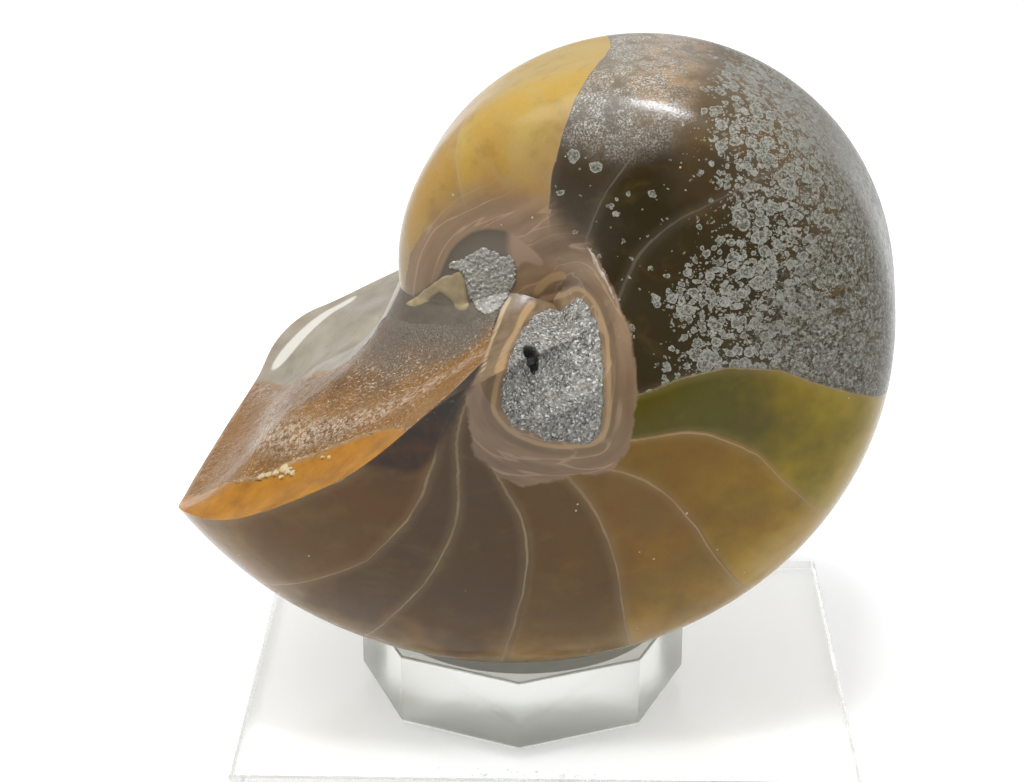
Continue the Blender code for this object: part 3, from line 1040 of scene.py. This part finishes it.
# ---------------------------------------------------------------- rock fill
# Grey granular rock packed in the umbilicus on both sides, and a smaller
# patch of it in the hollow in front. It was ground level with the shell.
PIT_MM = (-5.0, -34.8, -0.6)
PIT_AXIS = (0.21, -0.49, 0.84)
PIT_DEPTH = 0.0024
HOLLOW_DEPTH = 0.0034
FILL_OUTLINES = {
    "umbilical_rock": (
        [
            (0.3, -22.0, 4.2), (2.2, -24.0, 3.4), (3.5, -26.0, 1.6), (4.3, -27.5, -0.3),
            (4.9, -29.5, -3.0), (5.3, -32.6, -6.4), (5.4, -34.2, -10.5), (4.9, -35.2, -12.9),
            (3.7, -35.6, -13.6), (1.5, -36.4, -13.4), (-0.6, -37.4, -13.1), (-3.0, -39.0, -12.1),
            (-5.5, -41.0, -10.3), (-7.0, -42.2, -8.5), (-8.5, -44.0, -5.2), (-8.3, -42.5, -3.2),
            (-7.9, -40.5, -0.8), (-7.8, -34.0, 0.0), (-7.6, -27.0, 0.0), (-6.4, -21.5, 0.4),
            (-4.4, -20.0, 1.0), (-2.4, -21.0, 1.6), (-1.0, -22.0, 2.8),
        ],
        PIT_AXIS,
        0.13,
    ),
    "bowl_rock": (
        [
            (-20.6, -17.0, 5.2), (-18.7, -17.0, 7.0), (-16.8, -17.6, 7.8), (-15.6, -17.8, 8.9),
            (-14.3, -18.0, 9.5), (-13.4, -18.2, 8.8), (-12.7, -18.3, 9.0), (-11.6, -18.6, 8.0),
            (-10.4, -18.8, 8.5), (-9.7, -18.9, 7.0), (-9.6, -18.8, 4.7), (-10.2, -18.5, 2.3),
            (-11.2, -18.7, 0.8), (-12.6, -19.6, -0.6), (-14.1, -19.4, -1.3), (-15.6, -18.8, -0.9),
            (-17.1, -17.8, 0.8), (-17.6, -17.6, 3.6), (-18.2, -17.2, 5.0),
        ],
        (0.0, -0.93, 0.37),
        0.13,
    ),
}
coil_tree = BVHTree.FromPolygons(
    [v.co.copy() for v in coil.data.vertices], [tuple(p.vertices) for p in coil.data.polygons]
)
PATCH_MARGIN_MM = 1.0
PATCH_EDGE_MM = -0.45
PATCH_BACK = 0.0007


def pit_gap(places):
    """Distance in millimetres from the oval pit in the rock on the near side."""
    axis = np.array(PIT_AXIS) / np.linalg.norm(PIT_AXIS)
    away = places / MM - np.array(PIT_MM)
    away = away - np.outer(away @ axis, axis)
    wide = away @ np.array([0.93, 0.35, -0.03])
    tall = np.sqrt(np.maximum((away * away).sum(axis=1) - wide * wide, 0.0))
    return np.hypot(wide, 0.58 * tall)


def lay_patch(name, outline, facing, cell_mm, mirror, height_of):
    """A closed patch that follows the coil's surface inside an outline given in millimetres."""
    edge_points = np.array(outline) * MM
    facing = np.array(facing)
    if mirror:
        edge_points[:, 1] *= -1.0
        facing = facing * np.array([1.0, -1.0, 1.0])
    facing = facing / np.linalg.norm(facing)
    middle = edge_points.mean(axis=0)
    first = np.cross(np.array([0.0, 0.0, 1.0]), facing)
    first /= np.linalg.norm(first)
    second = np.cross(facing, first)
    plan = np.stack([(edge_points - middle) @ first, (edge_points - middle) @ second], axis=1) / MM
    low = plan.min(axis=0) - PATCH_MARGIN_MM
    size = plan.max(axis=0) + PATCH_MARGIN_MM - low
    patch = new_grid(name, *(max(int(length / cell_mm), 4) for length in size))
    spread = (read_points(patch.data)[:, :2] + 0.5) * size + low
    inside = inside_distance(spread, plan)
    reach = 0.03
    drop = np.zeros(len(spread))
    for i, (u, v) in enumerate(spread * MM):
        start = Vector(middle + first * u + second * v + facing * reach)
        hit, _, _, depth = coil_tree.ray_cast(start, Vector(-facing))
        drop[i] = reach - depth if hit is not None else 0.0
    rise = height_of(spread, inside)
    top = middle + np.outer(spread[:, 0] * MM, first) + np.outer(spread[:, 1] * MM, second)
    top = top + np.outer(drop, facing)
    gap = np.full(len(top), 9.0) if mirror else pit_gap(top)
    rise = rise - PIT_DEPTH * smooth((1.40 + 0.25 * relief_of(top, 900.0, 2) - gap) / 0.8)
    top = top + np.outer(rise, facing)
    write_points(patch.data, top)
    write_value(patch.data, "pit_mm", gap)
    drop_points(patch, inside < PATCH_EDGE_MM)
    face_and_back(patch, facing, PATCH_BACK)
    return patch


def rock_height(places, inside):
    grains = relief_of(np.column_stack([places, np.zeros(len(places))]), 2.4, 4)
    coarse = relief_of(np.column_stack([places, np.ones(len(places))]), 0.5, 3)
    height = 0.00024 + 0.00017 * grains + 0.00008 * coarse
    edge = smooth((inside + 0.12 + 0.35 * coarse + 0.2 * grains) / 0.35)
    return height * edge - 0.0006 * (1.0 - edge)


def rock_finish(name, dust):
    material, tree, shader = new_finish(name)
    spot = place_mm(tree)
    grain_away, tone, _ = cells(spot, 3.4)
    tones = [
        (0.0, "#46443e"), (0.12, "#5c5952"), (0.35, "#726f67"), (0.7, "#89867e"), (0.92, "#a8a6a0"),
    ]
    colour = ramp(tone, tones, True)
    patchy = step_up(cloud(spot, 0.35), 0.35, 0.7)
    patchy = scaled(patchy, 0.25, dust)
    colour = blend_colour(patchy, colour, "#a9a599")
    pores = step_up(cloud(spot, 1.3, 4.0, 0.75), 0.46 - 0.1 * dust, 0.37 - 0.1 * dust)
    colour = laid_on(colour, "#2c2b28", pores, 0.85)
    glint = sums("GREATER_THAN", tone, 0.94)
    colour = laid_on(colour, "#d4d4d0", glint, 0.6)
    # Painted shade: near black painted into the oval pit, where shade falls inside the hole.
    pit = step_up(value(tree, "pit_mm"), 1.45, 1.05)
    colour = laid_on(colour, "#171613", pit, 0.93)
    coarse = bump(cloud(spot, 1.6, 4.0, 0.7), 0.45, 0.00022)
    facets = sums("SUBTRACT", 1.0, grain_away)
    wear(shader, colour, scaled(tone, -0.25, 0.80), bump(facets, 0.4, 0.00012, coarse))
    shader.inputs["Specular IOR Level"].default_value = 0.4
    return material


FILL_FINISHES = {
    "umbilical_rock": rock_finish("umbilical_rock", 0.0),
    "bowl_rock": rock_finish("bowl_rock", 0.42),
}
fossil_pieces = [coil, crust]
for mirror in (False, True):
    suffix = "far" if mirror else "near"
    for name, (outline, facing, cell_mm) in FILL_OUTLINES.items():
        patch = lay_patch(f"{name}_{suffix}", outline, facing, cell_mm, mirror, rock_height)
        patch.data.materials.append(FILL_FINISHES[name])
        fossil_pieces.append(patch)
stone = read_points(coil.data)
pit_axis = np.array(PIT_AXIS) / np.linalg.norm(PIT_AXIS)
in_cap = (stone[:, 1] < 0.0) & (np.abs((stone / MM - np.array(PIT_MM)) @ pit_axis) < 3.0)
dent = np.where(in_cap, HOLLOW_DEPTH * smooth((2.3 - pit_gap(stone)) / 1.0), 0.0)
write_points(coil.data, stone - np.outer(dent, pit_axis))


# ---------------------------------------------------------------- beige calcite patch
# A smooth tongue of dense beige calcite beside the rock in the hollow, and a
# few pale chips along the ring's outer edge. Both grew on the stone.
FLANK_FACING = (0.0, -0.85, 0.53)
BEIGE_OUTLINE = [
    (-28.5, -13.0, -2.9), (-26.5, -14.0, -0.9), (-24.1, -15.0, 1.2), (-22.2, -16.0, 3.0),
    (-20.0, -17.0, 4.7), (-17.9, -18.0, 5.8), (-17.4, -18.0, 4.6), (-17.1, -18.0, 1.1),
    (-16.7, -18.0, -0.8), (-17.6, -18.0, -1.8), (-19.1, -18.0, -1.6), (-20.2, -17.0, -0.3),
    (-21.1, -17.0, 0.7), (-21.8, -16.0, 0.1), (-24.1, -16.0, -1.4), (-26.4, -15.0, -2.8),
]
CHIP_OUTLINE = [
    (0.6, -21.5, 12.6), (1.6, -22.0, 12.1), (2.6, -22.0, 11.0), (3.3, -23.0, 10.2),
    (4.0, -23.0, 8.6), (5.0, -24.0, 7.4), (6.2, -25.5, 5.2), (7.0, -26.5, 3.4), (6.3, -26.0, 3.6),
    (5.2, -25.0, 5.4), (4.4, -24.0, 6.6), (3.2, -23.5, 7.6), (2.2, -23.0, 9.4), (1.4, -22.0, 10.8),
]


def smooth_height(places, inside):
    swell = relief_of(np.column_stack([places, np.zeros(len(places))]), 0.6, 3)
    edge = smooth((inside + 0.3 + 0.2 * swell) / 1.0)
    return (0.00016 + 0.00005 * swell) * edge - 0.0004 * (1.0 - edge)


def patch_finish(name, stops, rough):
    material, tree, shader = new_finish(name)
    spot = place_mm(tree)
    relief = bump(cloud(spot, 2.0), 0.3, 0.00012)
    wear(
        shader, mottled(spot, 0.6, stops, 5.0, 0.65), scaled(cloud(spot, 1.2), 0.2, rough), relief
    )
    stone_body(shader, 0.5, 0.2, (1.0, 0.6, 0.3), 0.001)
    return material


beige = patch_finish("beige_calcite", [(0.3, "#857454"), (0.5, "#978664"), (0.7, "#a69573")], 0.35)
chip = patch_finish("pale_chip", [(0.3, "#8f7c6a"), (0.5, "#b09c8a"), (0.7, "#cbbbac")], 0.40)
for name, outline, finish, cell_mm in (
    ("beige_patch", BEIGE_OUTLINE, beige, 0.2),
    ("shell_chip", CHIP_OUTLINE, chip, 0.15),
):
    patch = lay_patch(name, outline, FLANK_FACING, cell_mm, False, smooth_height)
    patch.data.materials.append(finish)
    fossil_pieces.append(patch)


# ---------------------------------------------------------------- slab crumbs
# A few white crumbs of stone dust along the slab's front edge, where they fell
# and stuck. Each is a tiny lump pressed on the acrylic; they are one piece.
DUST_SEED = 7
DUST_COUNT = 18
DUST_SPREAD = (-0.017, 0.008)
DUST_SETBACK = (0.0008, 0.0030)
DUST_SIZE = (0.00010, 0.00024)
slab_low, slab_high = (Vector(corner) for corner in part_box("base_slab"))
crumb_parts = []
chance = np.random.default_rng(DUST_SEED)
for place in np.sort(chance.uniform(*DUST_SPREAD, DUST_COUNT)):
    size = chance.uniform(*DUST_SIZE)
    bpy.ops.object.select_all(action="DESELECT")
    bpy.ops.mesh.primitive_ico_sphere_add(
        subdivisions=2,
        radius=size,
        location=(place, slab_low.y + chance.uniform(*DUST_SETBACK), slab_high.z + 0.4 * size),
        rotation=(0.0, 0.0, chance.uniform(0.0, 3.0)),
    )
    lump = bpy.context.object
    lump.scale = (chance.uniform(1.0, 2.4), 1.0, 0.7)
    bpy.ops.object.transform_apply(location=True, rotation=True, scale=True)
    for vertex in lump.data.vertices:
        shift = noise.noise(vertex.co * 6000.0) * 0.3 * size
        vertex.co += vertex.normal * shift
    crumb_parts.append(lump)
bpy.ops.object.select_all(action="DESELECT")
for lump in crumb_parts:
    lump.select_set(True)
bpy.context.view_layer.objects.active = crumb_parts[0]
bpy.ops.object.join()
crumbs = bpy.context.object
crumbs.name = "slab_crumbs"
crumbs.data.materials.append(
    patch_finish("stone_dust", [(0.3, "#d9d7cf"), (0.5, "#e9e8e3"), (0.7, "#f4f4f1")], 0.6)
)
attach(crumbs, "root")


# ---------------------------------------------------------------- all fossil pieces
# The coil and all that grew on it or set in it are one stone, so every piece
# is moved together to its place on the riser and rides with it.
COIL_CENTRE = (0.0069, -0.0030, 0.0780)
COIL_TURN_DEG = -7.0
COIL_LEAN_DEG = 1.3
coil_seat = (
    Matrix.Translation(Vector(COIL_CENTRE))
    @ Matrix.Rotation(math.radians(COIL_TURN_DEG), 4, "Z")
    @ Matrix.Rotation(math.radians(COIL_LEAN_DEG), 4, "X")
)


def seat(obj):
    """Moves a piece modelled about the coil's middle to its place on the stand."""
    only(obj)
    obj.matrix_world = coil_seat
    bpy.ops.object.transform_apply(location=True, rotation=True, scale=True)


for piece in fossil_pieces:
    seat(piece)
    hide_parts("fossil_nautilus")
    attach(piece, "root")


# ---------------------------------------------------------------- table, light and camera
# A plain pale table top under a plain white surround, two soft lamps, and the
# camera in front of the object, a little above it.
TABLE_SIZE = 12.0
TABLE_DROP = 0.0002
bpy.ops.object.select_all(action="DESELECT")
bpy.ops.mesh.primitive_plane_add(size=TABLE_SIZE, location=(0.0, 0.0, -TABLE_DROP))
table_top = bpy.context.object
table_top.name = "table_top"
material, tree, shader = new_finish("table_white")
shader.inputs["Base Color"].default_value = (0.80, 0.80, 0.80, 1.0)
shader.inputs["Roughness"].default_value = 0.6
path = node(tree, "ShaderNodeLightPath")
seen = sums("MAXIMUM", path.outputs["Is Camera Ray"], path.outputs["Is Glossy Ray"])
seen = sums("MAXIMUM", seen, path.outputs["Is Transmission Ray"])
glow = node(tree, "ShaderNodeEmission", {"Color": (1.0, 1.0, 1.0, 1.0), "Strength": 0.50})
nothing = node(tree, "ShaderNodeEmission", {"Color": (0.0, 0.0, 0.0, 1.0), "Strength": 0.0})
pick = node(tree, "ShaderNodeMixShader", {0: seen, 1: nothing.outputs[0], 2: glow.outputs[0]})
total = node(tree, "ShaderNodeAddShader", {0: shader.outputs[0], 1: pick.outputs[0]})
tree.links.new(total.outputs[0], tree.nodes["Material Output"].inputs["Surface"])
table_top.data.materials.append(material)

world = bpy.data.worlds.new("studio")
scene.world = world
world.use_nodes = True
tree = world.node_tree
tree.nodes.clear()
path = node(tree, "ShaderNodeLightPath")
seen = sums("MAXIMUM", path.outputs["Is Camera Ray"], path.outputs["Is Transmission Ray"])
white = node(tree, "ShaderNodeBackground", {"Color": (1.0, 1.0, 1.0, 1.0), "Strength": 1.0})
direction = node(tree, "ShaderNodeTexCoord").outputs["Generated"]
split = node(tree, "ShaderNodeSeparateXYZ", {0: direction})
behind_object = step_up(split.outputs["Y"], -0.9, 0.3)
upward = step_up(split.outputs["Z"], -0.1, 0.9)
level = scaled(behind_object, 0.31, 0.22)
level = scaled(upward, 0.11, level)
soft = node(tree, "ShaderNodeBackground", {"Color": (0.96, 0.98, 1.0, 1.0), "Strength": level})
pick = node(tree, "ShaderNodeMixShader", {0: seen, 1: soft.outputs[0], 2: white.outputs[0]})
out = node(tree, "ShaderNodeOutputWorld")
tree.links.new(pick.outputs[0], out.inputs["Surface"])


def soft_lamp(name, place, aim, size, power, colour=(1.0, 1.0, 1.0)):
    light = bpy.data.lights.new(name, "AREA")
    light.shape = "RECTANGLE"
    light.size = size[0]
    light.size_y = size[1]
    light.energy = power
    light.color = colour
    lamp = bpy.data.objects.new(name, light)
    scene.collection.objects.link(lamp)
    lamp.location = place
    lamp.rotation_euler = (Vector(aim) - Vector(place)).to_track_quat("-Z", "Y").to_euler()


soft_lamp("key_lamp", (-0.35, -0.25, 0.75), (0.0, 0.0, 0.06), (0.5, 0.5), 3.0)
soft_lamp(
    "top_lamp", (-0.030, -0.23, 0.68), (0.010, -0.02, 0.10), (0.16, 0.08), 3.2, (0.90, 0.94, 1.0)
)

SENSOR_MM = 36.0
LENS_MM = 78.01
CAMERA_PLACE = (0.001574, -0.33505, 0.19745)
CAMERA_PITCH_DEG = 67.0
CAMERA_TURN_DEG = 1.3
camera_data = bpy.data.cameras.new("camera")
camera_data.sensor_width = SENSOR_MM
camera_data.lens = LENS_MM
camera = bpy.data.objects.new("camera", camera_data)
scene.collection.objects.link(camera)
camera.location = CAMERA_PLACE
camera.rotation_euler = (math.radians(CAMERA_PITCH_DEG), 0.0, math.radians(CAMERA_TURN_DEG))
scene.camera = camera
